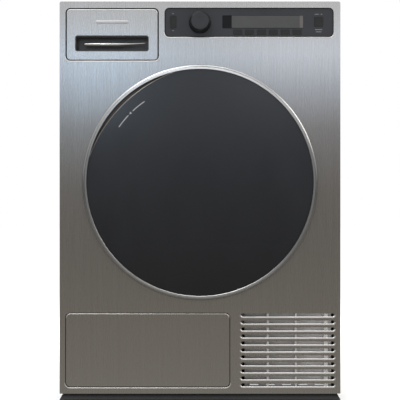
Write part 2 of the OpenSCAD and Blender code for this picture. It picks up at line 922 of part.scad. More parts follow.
// Two finned coils of the heat pump
module exchanger_coils() color(steel) {
    for (y = [F(96), F(216)]) {
        for (i = [0:15])
            block(i * 22.8 - 258, i * 22.8 - 256.5, y, y + 100, plinth_h + 8, plinth_h + 132);
        for (x = [-262, 88])
            block(x, x + 2, y, y + 100, plinth_h, plinth_h + 136);
        for (dy = [28, 72], z = [44, 96])
            translate([-268, y + dy, plinth_h + z])
                rotate([0, 90, 0])
                    cylinder(r = 5, h = 362);
    }
}

// Filter in front of the coils
module exchanger_filter() color(white) difference() {
    block(-262, 92, F(64), F(82), plinth_h, plinth_h + 132);
    for (i = [0:3])
        block(i * 88 - 256, i * 88 - 174, F(63), F(72), plinth_h + 8, plinth_h + 124);
    for (i = [0:3])
        block(i * 88 - 256, i * 88 - 174, F(75), F(83), plinth_h + 8, plinth_h + 124);
}

// Cover over the coils and the filter, open at the front
module exchanger_cover() color(plastic) difference() {
    block(-275, cover_x1, body_y + 2, F(340), plinth_h, cover_z);
    block(-272.5, cover_x1 - 2.5, F(0), F(337.5), plinth_h - 1, cover_z - 2.5);
    block(-filter_half_w + 4, filter_half_w - 4, F(filter_d0 + 3), F(filter_d0 + filter_t - 3),
        cover_z - 5, cover_z + 1);
    block(cover_x1 - 5, cover_x1 + 1, F(285), F(325), plinth_h + 30, cover_z - 20);
}

// ---- service flap and grille ----

// Hinged service flap with pivot pins at its lower edge
module service_flap() color(steel) {
    difference() {
        wall(F(0), F(10))
            rounded(flap_x0 + 1, flap_x1 - 1, flap_z0 + 2, flap_z1 - 1, 9);
        wall(F(1.5), F(11))
            rounded(flap_x0 + 3, flap_x1 - 3, flap_z0 + 22, flap_z1 - 3, 4);
    }
    for (x = [flap_x0 - 5, flap_x1 - 5])
        translate([x, F(flap_axis_y), flap_axis_z])
            rotate([0, 90, 0])
                cylinder(r = 2.5, h = 10);
}

// Frame behind the flap's opening with the pivots' lugs
module flap_frame() color(black) difference() {
    union() {
        wall(F(sheet_t), F(4)) difference() {
            rounded(flap_x0 - 7, flap_x1 + 7, flap_z0 - 8, flap_z1 + 7, 14);
            rounded(flap_x0, flap_x1, flap_z0 - 4, flap_z1, 2);
        }
        for (x = [flap_x0 - 6, flap_x1 + 1])
            block(x, x + 5, F(3), F(12), flap_axis_z - 6, flap_axis_z + 6);
    }
    translate([flap_x0 - 8, F(flap_axis_y), flap_axis_z])
        rotate([0, 90, 0])
            cylinder(r = 2.5 + run_gap, h = flap_w + 16);
}

// Ribs and frame behind the grille's slots
module grille_insert() color(plastic) difference() {
    wall(F(sheet_t), F(9))
        rounded(slot_x0 - 6, slot_x1 + 6, slot_z1 - 10 * slot_pitch - slot_h - 6, slot_z1 + 6, 4);
    for (p = [[0, 0.275], [0.3, 0.575], [0.6, 0.885], [0.93, 1.0]])
        wall(F(0), F(10)) translate([slot_x0 + p[0] * slot_w, slot_z1 - 10 * slot_pitch - slot_h])
            square([(p[1] - p[0]) * slot_w, 10 * slot_pitch + slot_h]);
}

front_panel();
side_panel_left();
side_panel_right();
worktop();
rear_panel();
rear_duct_cover();
base_pan();
foot_front_left();
foot_front_right();
foot_rear_left();
foot_rear_right();
control_fascia();
display_window();
control_board();
power_button();
option_button_1();
option_button_2();
option_button_3();
option_button_4();
option_button_5();
option_button_6();
start_button();
program_knob();
drawer_front();
drawer_grip();
water_tank();
tank_housing();
door_ring();
door_glass();
door_frame();
door_liner();
door_hinge_arm();
door_hook();
hinge_bracket();
hinge_pin();
door_catch();
door_seal();
front_bulkhead();
lint_filter();
drum_shell();
drum_lifters();
drum_rear_wall();
rear_bearing();
drum_roller_left();
drum_roller_right();
drive_belt();
drive_motor();
motor_shaft();
blower_impeller();
blower_housing();
compressor();
exchanger_coils();
exchanger_filter();
exchanger_cover();
service_flap();
flap_frame();
grille_insert();
mains_inlet();
drain_spigot();
panel_screws();
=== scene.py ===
"""Visual model of a front-loading heat-pump clothes dryer, built round its CAD frame."""
import json
import logging
import math
from abc import ABC, abstractmethod
from dataclasses import dataclass
from enum import Enum
from typing import Sequence

import bmesh
import bpy
from bmesh.types import BMEdge, BMesh, BMFace, BMVert
from bpy.types import Material, Node, NodeOutputs, NodeSocket, NodeTree, Object
from mathutils import Matrix, Vector


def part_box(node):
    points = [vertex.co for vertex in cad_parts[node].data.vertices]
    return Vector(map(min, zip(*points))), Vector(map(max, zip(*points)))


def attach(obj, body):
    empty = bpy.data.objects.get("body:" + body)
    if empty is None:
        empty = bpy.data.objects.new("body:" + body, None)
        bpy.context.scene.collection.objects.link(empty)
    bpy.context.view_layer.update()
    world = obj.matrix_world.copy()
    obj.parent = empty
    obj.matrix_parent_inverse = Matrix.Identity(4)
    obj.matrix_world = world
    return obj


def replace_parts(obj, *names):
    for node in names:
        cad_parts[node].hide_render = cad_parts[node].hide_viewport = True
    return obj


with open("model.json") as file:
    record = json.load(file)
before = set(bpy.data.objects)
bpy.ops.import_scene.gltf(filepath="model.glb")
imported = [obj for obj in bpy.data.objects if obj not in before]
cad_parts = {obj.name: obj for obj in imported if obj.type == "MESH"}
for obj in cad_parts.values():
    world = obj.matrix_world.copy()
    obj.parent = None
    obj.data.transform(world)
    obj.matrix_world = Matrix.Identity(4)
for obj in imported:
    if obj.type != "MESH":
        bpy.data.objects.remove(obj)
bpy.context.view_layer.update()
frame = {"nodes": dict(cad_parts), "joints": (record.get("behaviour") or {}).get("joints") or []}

LOG = logging.getLogger("dryer")
MM = 0.001
MERGE_DISTANCE = 1e-7
SHORTEST_RUN = 1e-6
BEAD_SIDES = 10
CORNER_STEPS = 8
Point = tuple[float, float, float]
Colour = tuple[float, float, float]
Tones = tuple[tuple[float, Colour], ...]
Outline = tuple[tuple[float, float], ...]


def show(name: str, data: bpy.types.ID) -> Object:
    """Puts new data into the scene as an object at the origin, and gives the object."""
    made = bpy.data.objects.new(name, data)
    bpy.context.scene.collection.objects.link(made)
    return made


def show_mesh(bm: BMesh, name: str) -> Object:
    """Turns a bmesh, which is freed, into an object in the scene.

    Args:
        bm: The bmesh.
        name: The object's name.

    Returns:
        The object.
    """
    mesh = bpy.data.meshes.new(name)
    bm.to_mesh(mesh)
    bm.free()
    return show(name, mesh)


def joint_place(name: str) -> Vector:
    """Gives where a joint of the frame turns, in metres."""
    return Vector(next(j for j in frame["joints"] if j["name"] == name)["pos_m"])


FRONT_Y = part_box("front_panel")[0].y
DOOR_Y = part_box("door_ring")[0].y
DOOR_AXIS = joint_place("drum_spin")


class Run(Enum):
    """Direction in which the grain of a brushed metal runs."""

    UPRIGHT = (1.0, 1.0, 0.006)
    ACROSS = (0.006, 1.0, 1.0)


class Side(Enum):
    """Edges of a rounded rectangle that a bead follows."""

    ALL = "all"
    UPPER = "upper"
    LOWER = "lower"


# ---- materials ----


def shade(colour: Colour, factor: float, lift: float = 0.0) -> Colour:
    """Gives a colour that is brighter or darker, raised by an even lift."""
    return tuple(min(1.0, c * factor + lift) for c in colour)


class Tree:
    """Builder for any node tree."""

    def __init__(self, tree: NodeTree) -> None:
        """Starts with an empty tree."""
        self.tree = tree
        self.tree.nodes.clear()

    def feed(self, target: NodeSocket, value: object) -> None:
        """Joins an input to an output, or gives it a value.

        Args:
            target: The input.
            value: A socket, a number, a vector or a colour without its alpha.
        """
        if isinstance(value, NodeSocket):
            self.tree.links.new(value, target)
        else:
            target.default_value = (*value, 1.0) if target.type == "RGBA" else value

    def node(self, kind: str, **values: object) -> Node:
        """Adds a node and sets its properties and sockets.

        Args:
            kind: Blender's name of the node type.
            **values: Properties by their name, or sockets by their name with _ for a space.

        Returns:
            The new node.
        """
        made = self.tree.nodes.new(kind)
        for key, value in values.items():
            if hasattr(made, key):
                setattr(made, key, value)
            else:
                self.feed(made.inputs[key.replace("_", " ")], value)
        return made

    def spread(self, value: NodeSocket, low: float = 0.0, high: float = 1.0, start: float = 0.3,
               end: float = 0.7) -> NodeSocket:
        """Maps a value from the span of start and end to that of low and high."""
        return self.node("ShaderNodeMapRange", Value=value, From_Min=start, From_Max=end, To_Min=low,
                         To_Max=high).outputs[0]

    def split(self, vector: NodeSocket) -> NodeOutputs:
        """Parts a vector or a colour into X, Y and Z."""
        return self.node("ShaderNodeSeparateXYZ", Vector=vector).outputs

    def ramp(self, value: NodeSocket, stops: Tones) -> NodeSocket:
        """Turns a value into a colour through a row of stops.

        Args:
            value: What is looked up.
            stops: Place and colour of each stop, in rising order.

        Returns:
            The colour.
        """
        made = self.node("ShaderNodeValToRGB")
        elements = made.color_ramp.elements
        while len(elements) < len(stops):
            elements.new(1.0)
        for element, (place, colour) in zip(elements, stops):
            element.position = place
            element.color = (*colour, 1.0)
        self.feed(made.inputs[0], value)
        return made.outputs[0]


class Graph(Tree):
    """Builder for the node tree of one material."""

    def __init__(self, name: str) -> None:
        """Starts an empty material.

        Args:
            name: The material's name.
        """
        self.material = bpy.data.materials.new(name)
        self.material.use_nodes = True
        super().__init__(self.material.node_tree)
        self.shader = self.node("ShaderNodeBsdfPrincipled")
        self.node("ShaderNodeOutputMaterial", Surface=self.shader.outputs[0])

    def set(self, **values: object) -> None:
        """Sets or joins sockets of the shader itself, by name with _ for a space."""
        for key, value in values.items():
            self.feed(self.shader.inputs[key.replace("_", " ")], value)

    def place(self, scale: Sequence[float] = (1, 1, 1),
              shift: Sequence[float] = (0, 0, 0)) -> NodeSocket:
        """Gives object coordinates, stretched along each axis and then shifted."""
        where = self.node("ShaderNodeTexCoord").outputs["Object"]
        return self.node("ShaderNodeMapping", Scale=scale, Location=shift, Vector=where).outputs["Vector"]

    def noise(self, scale: float, stretch: Sequence[float] = (1, 1, 1),
              detail: float = 3.0) -> NodeSocket:
        """Gives noise from 0 to 1, with scale features in a metre, stretched along each axis."""
        return self.node("ShaderNodeTexNoise", Scale=scale, Detail=detail, Roughness=0.6,
                         Vector=self.place(stretch)).outputs[0]

    def blend(self, factor: NodeSocket, first: object, second: object,
              how: str = "MIX") -> NodeSocket:
        """Mixes two colours.

        Args:
            factor: How much of the second colour shows.
            first: A colour or a colour socket.
            second: A colour or a colour socket.
            how: Blender's name of the blend type.

        Returns:
            The mixed colour.
        """
        made = self.node("ShaderNodeMix", data_type="RGBA", blend_type=how)
        for index, value in ((0, factor), (6, first), (7, second)):
            self.feed(made.inputs[index], value)
        return made.outputs[2]

    def axis(self, name: str) -> NodeSocket:
        """Gives one object coordinate by its letter."""
        return self.split(self.place())[name]

    def math(self, how: str, *values: object) -> NodeSocket:
        """Does one sum on numbers or sockets.

        Args:
            how: Blender's name of the operation.
            *values: Numbers or sockets.

        Returns:
            The result.
        """
        made = self.node("ShaderNodeMath", operation=how)
        for socket, value in zip(made.inputs, values):
            self.feed(socket, value)
        return made.outputs[0]

    def bump(self, height: NodeSocket, depth: float, strength: float = 1.0) -> None:
        """Raises the surface by a height value, by depth metres at a value of one."""
        made = self.node("ShaderNodeBump", Distance=depth, Strength=strength, Height=height)
        self.set(Normal=made.outputs[0])


class Finish(ABC):
    """Look that a material is made from."""

    def material(self, name: str) -> Material:
        """Makes the material.

        Args:
            name: The material's name.

        Returns:
            The material.
        """
        graph = Graph(name)
        self.paint(graph)
        return graph.material

    @abstractmethod
    def paint(self, g: Graph) -> None:
        """Sets up the shader of a new material."""


@dataclass(frozen=True)
class BrushedSteel(Finish):
    """Brushed stainless steel: its own grey with a painted reflection that shifts from foot to top."""

    painted_reflection_tones: Tones = (
        (0.00, (0.47, 0.45, 0.42)), (0.16, (0.45, 0.425, 0.385)), (0.45, (0.33, 0.305, 0.28)),
        (0.58, (0.33, 0.315, 0.305)), (0.67, (0.42, 0.425, 0.44)), (0.74, (0.54, 0.55, 0.57)),
        (0.80, (0.55, 0.545, 0.545)), (0.86, (0.55, 0.53, 0.515)))
    run: Run = Run.UPRIGHT
    roughness: float = 0.27
    streaks: float = 0.06
    fine_lines: float = 2600.0
    long_lines: float = 120.0
    grain: float = 0.00001
    bright: Colour = (1.25, 1.25, 1.25)
    dull: Colour = (0.5, 0.49, 0.47)

    def paint(self, g: Graph) -> None:
        """Paints fine brush lines, faint long streaks and a painted reflection that changes with height.

        Args:
            g: The graph.
        """
        g.set(Metallic=1.0, Anisotropic=0.45)
        fine = g.noise(self.fine_lines, self.run.value, 2.0)
        long = g.noise(self.long_lines, self.run.value, 4.0)
        # The ramp by height paints the reflection of the surroundings onto the steel's own colour.
        base = g.ramp(g.axis("Z"), self.painted_reflection_tones)
        lit = g.blend(g.spread(fine, 0.0, self.streaks * 0.7), base, self.bright, "MULTIPLY")
        g.set(Base_Color=g.blend(g.spread(long, 0.0, self.streaks * 1.5), lit, self.dull, "MULTIPLY"),
              Roughness=g.spread(fine, self.roughness - 0.02, self.roughness + 0.03))
        g.bump(fine, self.grain, 0.09)


@dataclass(frozen=True)
class PolishedSteel(Finish):
    """Bright metal with faint rubbing marks."""

    colour: Colour = (0.80, 0.80, 0.80)
    roughness: float = 0.14
    marks: float = 260.0

    def paint(self, g: Graph) -> None:
        """Paints the bright metal and its rubbing marks.

        Args:
            g: The graph.
        """
        marks = g.noise(self.marks, (1, 1, 0.3), 4.0)
        g.set(Metallic=1.0,
              Base_Color=g.blend(g.spread(marks, 0.0, 0.35), self.colour, shade(self.colour, 0.82)),
              Roughness=g.spread(marks, self.roughness, self.roughness + 0.08))


@dataclass(frozen=True)
class Moulded(Finish):
    """Moulded plastic with a fine spark-eroded grain."""

    colour: Colour = (0.05, 0.05, 0.05)
    roughness: float = 0.5
    grain: float = 0.00003
    grain_size: float = 2200.0
    variation: float = 0.12
    shine: float = 0.5

    def paint(self, g: Graph) -> None:
        """Paints the plastic, with a faint dust and a fine grain.

        Args:
            g: The graph.
        """
        fine = g.noise(self.grain_size, detail=2.0)
        broad = g.noise(9.0)
        dusty = shade(self.colour, 1 + self.variation, 0.004)
        g.set(IOR=1.5, Specular_IOR_Level=self.shine,
              Base_Color=g.blend(g.spread(broad), self.colour, dusty),
              Roughness=g.spread(fine, self.roughness - 0.06, self.roughness + 0.08))
        g.bump(fine, self.grain, 0.5)


@dataclass(frozen=True)
class TintedGlass(Finish):
    """Dark tinted door glass, printed black from behind."""

    # The lighter top colour is a painted reflection of the brighter surroundings above.
    foot: Colour = (0.0085, 0.0085, 0.0095)
    top: Colour = (0.020, 0.022, 0.026)
    span: tuple[float, float] = (0.24, 0.70)
    roughness: float = 0.15

    def paint(self, g: Graph) -> None:
        """Paints the dark glass, a little greyer towards its top as a painted reflection.

        Args:
            g: The graph.
        """
        height = g.spread(g.axis("Z"), 0.0, 1.0, *self.span)
        smear = g.noise(14.0, (1, 1, 0.4), 4.0)
        g.set(IOR=1.52, Specular_IOR_Level=0.4, Base_Color=g.blend(height, self.foot, self.top),
              Roughness=g.spread(smear, self.roughness, self.roughness + 0.07))


@dataclass(frozen=True)
class Painted(Finish):
    """Powder-coated sheet with a slight orange-peel surface."""

    colour: Colour = (0.5, 0.5, 0.5)
    roughness: float = 0.42
    metallic: float = 0.0
    flake: float = 0.04
    peel: float = 0.00006

    def paint(self, g: Graph) -> None:
        """Paints the coating, a little cloudy and with a fine peel.

        Args:
            g: The graph.
        """
        peel = g.noise(420.0, detail=2.0)
        cloud = g.noise(7.0)
        pale = shade(self.colour, 1 + self.flake, 0.01)
        g.set(Metallic=self.metallic, IOR=1.5,
              Base_Color=g.blend(g.spread(cloud), self.colour, pale),
              Roughness=g.spread(cloud, self.roughness - 0.05, self.roughness + 0.07))
        g.bump(peel, self.peel, 0.3)


@dataclass(frozen=True)
class Galvanised(Finish):
    """Zinc-coated sheet with the spangle of its crystals."""

    colour: Colour = (0.44, 0.45, 0.46)
    stain: Colour = (0.80, 0.79, 0.77)
    crystals: float = 95.0
    roughness: float = 0.36
    relief: float = 0.00001

    def paint(self, g: Graph) -> None:
        """Paints the zinc coat, whose crystals differ a little in tone and gloss.

        Args:
            g: The graph.
        """
        cells = g.node("ShaderNodeTexVoronoi", Scale=self.crystals, Randomness=1.0, Vector=g.place())
        grey = g.split(cells.outputs["Color"])
        spangle = g.blend(grey["X"], self.colour, shade(self.colour, 1.16))
        stained = g.spread(g.noise(5.0), 0.0, 0.25)
        g.set(Metallic=0.9, Base_Color=g.blend(stained, spangle, self.stain, "MULTIPLY"),
              Roughness=g.spread(grey["Y"], self.roughness - 0.04, self.roughness + 0.06, 0.0, 1.0))
        g.bump(grey["Z"], self.relief, 0.4)


@dataclass(frozen=True)
class PerforatedSteel(Finish):
    """Drum steel with rows of small round holes round its shell."""

    radius: float = 0.275
    pitch: float = 0.022
    hole: float = 0.0028
    relief: float = 0.0006
    dark: Colour = (0.60, 0.61, 0.62)
    light: Colour = (0.72, 0.73, 0.74)
    # Colour of the holes: painted shade for the dark space behind them.
    inside: Colour = (0.015, 0.015, 0.016)

    def paint(self, g: Graph) -> None:
        """Paints the drum steel, with the holes as dark dimples set out along the shell, their darkness a
        painted shade for the space behind them.

        Args:
            g: The graph.
        """
        axis = g.split(g.place(shift=(0, 0, -DOOR_AXIS.z)))
        turns = math.floor(2 * math.pi * self.radius / self.pitch)
        angle = g.math("ARCTAN2", axis["Z"], axis["X"])
        round_ = g.math("MULTIPLY", angle, turns / (2 * math.pi))
        along = g.math("DIVIDE", axis["Y"], self.pitch)
        row = g.math("FRACT", g.math("MULTIPLY", g.math("FLOOR", along), 0.5))
        u = g.math("SUBTRACT", g.math("FRACT", g.math("ADD", round_, row)), 0.5)
        v = g.math("SUBTRACT", g.math("FRACT", along), 0.5)
        far = g.math("SQRT", g.math("ADD", g.math("MULTIPLY", u, u), g.math("MULTIPLY", v, v)))
        edge = self.hole / self.pitch
        solid = g.spread(far, 0.0, 1.0, edge * 0.9, edge * 1.1)
        marks = g.noise(300.0, (1, 0.02, 1))
        steel = g.blend(g.spread(marks), self.dark, self.light)
        g.set(Metallic=1.0, Base_Color=g.blend(solid, self.inside, steel),
              Roughness=g.spread(marks, 0.24, 0.36))
        g.bump(g.spread(far, 0.0, 1.0, edge * 0.8, edge * 2.0), self.relief, 0.8)


@dataclass(frozen=True)
class Screen(Finish):
    """Liquid-crystal screen with a faint grid of cells behind its lens."""

    colour: Colour = (0.058, 0.058, 0.058)
    cell: float = 0.0021

    def paint(self, g: Graph) -> None:
        """Paints the screen, with darker lines between its cells.

        Args:
            g: The graph.
        """
        axis = g.split(g.place())
        near = g.math("MINIMUM", *(g.math("PINGPONG", axis[k], self.cell / 2) for k in ("X", "Z")))
        cell = g.spread(near, 0.0, 1.0, self.cell * 0.04, self.cell * 0.14)
        cloud = g.noise(30.0, detail=2.0)
        face = g.blend(g.spread(cloud), self.colour, shade(self.colour, 1.18))
        g.set(IOR=1.45, Roughness=0.32, Specular_IOR_Level=0.35,
              Base_Color=g.blend(cell, shade(self.colour, 0.82), face))


@dataclass(frozen=True)
class StudioFloor(Finish):
    """Pale floor that fades into the white surroundings."""

    colour: Colour = (0.9, 0.9, 0.9)
    near: float = 0.9
    far: float = 2.1

    def paint(self, g: Graph) -> None:
        """Paints the floor matt near the middle and plain white far from it.

        Args:
            g: The graph.
        """
        length = g.node("ShaderNodeVectorMath", operation="LENGTH")
        g.feed(length.inputs[0], g.place(scale=(1, 1, 0)))
        fade = g.spread(length.outputs["Value"], 0.0, 1.0, self.near, self.far)
        g.set(Roughness=0.7, Specular_IOR_Level=0.2, Emission_Color=(1.0, 1.0, 1.0),
              Base_Color=g.blend(fade, self.colour, (0.0, 0.0, 0.0)), Emission_Strength=fade)


@dataclass(frozen=True)
class Louvre(Finish):
    """Grey coated steel behind the grille, lighter towards its right end as painted light."""

    dark: Colour = (0.24, 0.23, 0.22)
    light: Colour = (0.68, 0.66, 0.65)
    start: float = 0.10
    end: float = 0.27

    def paint(self, g: Graph) -> None:
        """Paints the coated steel, with painted light that grows towards the right end in soft uneven cloudy
        bands.

        Args:
            g: The graph.
        """
        # The rise from dark to light along X is painted light on the steel's grey.
        along = g.spread(g.axis("X"), 0.0, 1.0, self.start, self.end)
        cloud = g.noise(30.0, (1, 1, 0.5), 2.0)
        painted_light_patches = g.math("MULTIPLY", along, g.spread(cloud, 0.6, 1.0))
        g.set(Metallic=0.2, IOR=1.5, Base_Color=g.blend(painted_light_patches, self.dark, self.light),
              Roughness=g.spread(cloud, 0.3, 0.45))


# Front panel, drawer and flap steel: its own grey with the default painted reflection by height.
STEEL_PAINTED_REFLECTION = BrushedSteel()
# Edge steel: its bright colour is a painted highlight on the rounded edges.
EDGE_STEEL_PAINTED_HIGHLIGHT = BrushedSteel(((0.0, (0.86, 0.83, 0.80)), (1.0, (0.86, 0.85, 0.84))), Run.ACROSS, 0.34, 0.05)
# Lip steel: its bright colour is a painted highlight on the rolled lips.
LIP_STEEL_PAINTED_HIGHLIGHT = BrushedSteel(((0.0, (0.92, 0.89, 0.86)), (1.0, (0.92, 0.90, 0.88))), Run.ACROSS, 0.3, 0.05)
# Ring steels: their change of brightness with height is a painted reflection.
RING_BAND_PAINTED_REFLECTION = BrushedSteel((
    (0.22, (0.30, 0.295, 0.29)), (0.52, (0.32, 0.315, 0.31)), (0.60, (0.50, 0.49, 0.48)),
    (0.68, (0.50, 0.49, 0.48)), (0.71, (0.38, 0.375, 0.37))), Run.ACROSS, 0.28, 0.0)
RING_FACE_PAINTED_REFLECTION = BrushedSteel((
    (0.22, (0.66, 0.65, 0.64)), (0.26, (0.60, 0.59, 0.58)), (0.33, (0.40, 0.395, 0.39)),
    (0.52, (0.33, 0.325, 0.32)), (0.60, (0.50, 0.495, 0.49)), (0.68, (0.78, 0.77, 0.76)),
    (0.71, (0.92, 0.91, 0.90))), Run.ACROSS, 0.30, 0.0)
# Glass edge: its light metal colour is a painted highlight.
GLASS_EDGE_PAINTED_HIGHLIGHT = PolishedSteel((0.74, 0.71, 0.69), 0.26)
BADGE = PolishedSteel((0.66, 0.66, 0.67), 0.4)
CHROME = PolishedSteel((0.9, 0.9, 0.9), 0.07)
DRUM_WALL = PolishedSteel((0.68, 0.69, 0.70), 0.24)
FASCIA = Moulded((0.0185, 0.0205, 0.0245), 0.42, shine=0.42)
BUTTON = Moulded((0.010, 0.0098, 0.010), 0.4, shine=0.35)
KNOB = Moulded((0.017, 0.018, 0.021), 0.36, grain=0.00002, shine=0.42)
# Knob body: the face's plastic, painted darker as the shade on its side wall.
KNOB_SIDE_PAINTED_SHADE = Moulded((0.004, 0.004, 0.0045), 0.24, grain=0.000005, shine=0.4)
DARK = Moulded((0.014, 0.014, 0.015), 0.55)
GLOSS = Moulded((0.003, 0.003, 0.004), 0.22, grain=0.000005, shine=0.15)
RECESS = Moulded((0.062, 0.058, 0.058), 0.28, grain=0.00001)
DOOR_FRAME = Moulded((0.040, 0.034, 0.032), 0.5)
SHADOW = Moulded((0.004, 0.004, 0.004), 0.7, shine=0.2)
BASE = Moulded((0.010, 0.0098, 0.0096), 0.6, grain=0.00008, grain_size=900.0, shine=0.4)
GREY = Moulded((0.33, 0.34, 0.35), 0.45)
LIFTER = Moulded((0.42, 0.43, 0.44), 0.36, grain=0.00001)
WHITE = Moulded((0.72, 0.73, 0.74), 0.4)
RUBBER = Moulded((0.02, 0.02, 0.02), 0.75, grain=0.0001, grain_size=700.0)
MARKING = Moulded((0.20, 0.20, 0.21), 0.5, grain=0.0)
SYMBOL = Moulded((0.34, 0.34, 0.35), 0.5, grain=0.0)
BOARD = Moulded((0.02, 0.12, 0.05), 0.3)
GLASS_PAINTED_REFLECTION = TintedGlass()
CABINET = Painted((0.30, 0.295, 0.285), 0.4)
LAMINATE = Painted((0.17, 0.168, 0.163), 0.5, flake=0.06)
ZINC = Galvanised()
# Brownish colour of the band in the grip: painted reflection.
GRIP_PAINTED_REFLECTION = Moulded((0.062, 0.050, 0.048), 0.4)
COMPRESSOR = Painted((0.02, 0.02, 0.02), 0.3)
ALUMINIUM = Painted((0.70, 0.71, 0.73), 0.35, metallic=1.0)
DRUM = PerforatedSteel()
SCREEN = Screen()
# Lighter right end of the screen: painted reflection.
SCREEN_END_PAINTED_REFLECTION = Screen((0.105, 0.097, 0.093))
# Both carry painted light on the grille's inside, lighter towards the right.
INSERT = Louvre(dark=(0.36, 0.35, 0.34), light=(0.42, 0.41, 0.40))
LOUVRE = Louvre()


class Wardrobe:
    """Makes each material once and hands it out."""

    def __init__(self) -> None:
        """Starts with no materials."""
        self.made: dict[Finish, Material] = {}

    def give(self, piece: Object, finish: Finish, name: str) -> None:
        """Dresses a piece in a finish.

        Args:
            piece: The piece.
            finish: The finish.
            name: The material's name, used the first time.
        """
        if finish not in self.made:
            self.made[finish] = finish.material(name)
        piece.data.materials.clear()
        piece.data.materials.append(self.made[finish])


WARDROBE = Wardrobe()


# ---- mesh tools ----


def finished(bm: BMesh, name: str, body: str, slot: str, finish: Finish,
             smooth: float = 40.0) -> Object:
    """Turns a bmesh into a dressed piece that rides on a body.

    Args:
        bm: The mesh, which is freed.
        name: The piece's name.
        body: The CAD body it rides on.
        slot: The record's material slot.
        finish: Its finish.
        smooth: Angle in degrees under which faces are smooth across an edge.

    Returns:
        The piece.
    """
    bmesh.ops.remove_doubles(bm, verts=bm.verts, dist=MERGE_DISTANCE)
    bmesh.ops.recalc_face_normals(bm, faces=bm.faces)
    for face in bm.faces:
        face.smooth = True
    for edge in bm.edges:
        edge.smooth = len(edge.link_faces) == 2 and edge.calc_face_angle(0.0) < math.radians(smooth)
    piece = show_mesh(bm, name)
    WARDROBE.give(piece, finish, slot)
    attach(piece, body)
    return piece


def edges_of(verts: Sequence[BMVert]) -> list[BMEdge]:
    """Gives every edge that meets a vertex of these, once."""
    return list({e for v in verts for e in v.link_edges})


def only(kind: type, geometry: Sequence[object]) -> list:
    """Picks the elements of one kind out of what an operator made."""
    return [g for g in geometry if isinstance(g, kind)]


def circle(bm: BMesh, place: Matrix) -> list[BMEdge]:
    """Adds the round section of a bead and gives its edges."""
    made = bmesh.ops.create_circle(bm, cap_ends=False, segments=BEAD_SIDES, radius=1.0, matrix=place)
    return edges_of(made["verts"])


def swing(bm: BMesh, ring: list[BMEdge], centre: Sequence[float], angle: float, steps: int) -> list[BMEdge]:
    """Sweeps a section by an angle about an axis along Y, and gives its far end."""
    spun = bmesh.ops.spin(bm, geom=ring, cent=centre, axis=(0, -1, 0), angle=angle, steps=steps,
                          use_duplicate=False)
    return only(BMEdge, spun["geom_last"])


def close(bm: BMesh, *loops: list[BMEdge]) -> None:
    """Caps the open ends of a bead."""
    for loop in loops:
        bmesh.ops.contextual_create(bm, geom=loop)


def soften(bm: BMesh, edges: list[BMEdge], width: float, steps: int) -> dict[str, list]:
    """Rounds edges off over a width, and gives what the operator made."""
    return bmesh.ops.bevel(bm, geom=edges, offset=width, offset_type="OFFSET", segments=steps,
                           affect="EDGES", profile=0.5, material=-1, clamp_overlap=True)


def outline(points: Outline, radius: float, y: float, way: int = 1) -> list[tuple[float, float]]:
    """Sets points, in mm away from a radius and behind a Y, outward or with way -1 inward."""
    return [(radius + way * r * MM, y + back * MM) for r, back in points]


def rim(bm: BMesh, low: Vector, high: Vector, corner: float, bead: float,
        depth: float, side: Side = Side.ALL) -> None:
    """Sweeps a flattened bead round a rounded rectangle in X and Z, or along one long edge of it.

    Args:
        bm: The mesh to add to.
        low: Lowest corner of the rectangle, with the bead's Y.
        high: Highest corner.
        corner: Corner radius.
        bead: Half of the bead's width.
        depth: Half of the bead's depth along Y.
        side: Which edges the bead follows.
    """
    old = set(bm.verts)
    wide, tall = high.x - low.x - 2 * corner, high.z - low.z - 2 * corner
    start = Vector((low.x, low.y, low.z + corner))
    first = ring = circle(bm, Matrix.Translation(start) @ Matrix.Diagonal((bead, depth, 1.0, 1.0)))
    centres = [(low.x + corner, low.z + corner), (high.x - corner, low.z + corner),
               (high.x - corner, high.z - corner), (low.x + corner, high.z - corner)]
    runs = [(wide, 0.0), (0.0, tall), (-wide, 0.0), (0.0, -tall)]
    count = 4 if side is Side.ALL else 2
    for k in range(count):
        ring = swing(bm, ring, (centres[k][0], low.y, centres[k][1]), math.pi / 2, CORNER_STEPS)
        if side is not Side.ALL and k == count - 1:
            break
        if abs(runs[k][0]) + abs(runs[k][1]) < SHORTEST_RUN:
            continue
        pulled = bmesh.ops.extrude_edge_only(bm, edges=ring)["geom"]
        bmesh.ops.translate(bm, verts=only(BMVert, pulled), vec=(runs[k][0], 0.0, runs[k][1]))
        ring = [e for e in only(BMEdge, pulled) if all(v in pulled for v in e.verts)]
    if side is not Side.ALL:
        close(bm, first, ring)
    if side is Side.UPPER:
        middle = Matrix.Translation((0.0, 0.0, -(low.z + high.z) / 2))
        bmesh.ops.scale(bm, vec=(1, 1, -1), space=middle, verts=[v for v in bm.verts if v not in old])


def turned(bm: BMesh, centre: Vector, profile: Sequence[tuple[float, float]],
           steps: int = 96) -> None:
    """Spins a profile about a Y axis.

    Args:
        bm: The mesh to add to.
        centre: A point on the axis.
        profile: Radius and Y of each point, in metres.
        steps: Steps in a full turn.
    """
    points = [bm.verts.new((centre.x + r, y, centre.z)) for r, y in profile]
    edges = [bm.edges.new(pair) for pair in zip(points, points[1:])]
    bmesh.ops.spin(bm, geom=points + edges, cent=(centre.x, 0.0, centre.z), axis=(0, 1, 0),
                   angle=2 * math.pi, steps=steps, use_merge=True, use_duplicate=False)


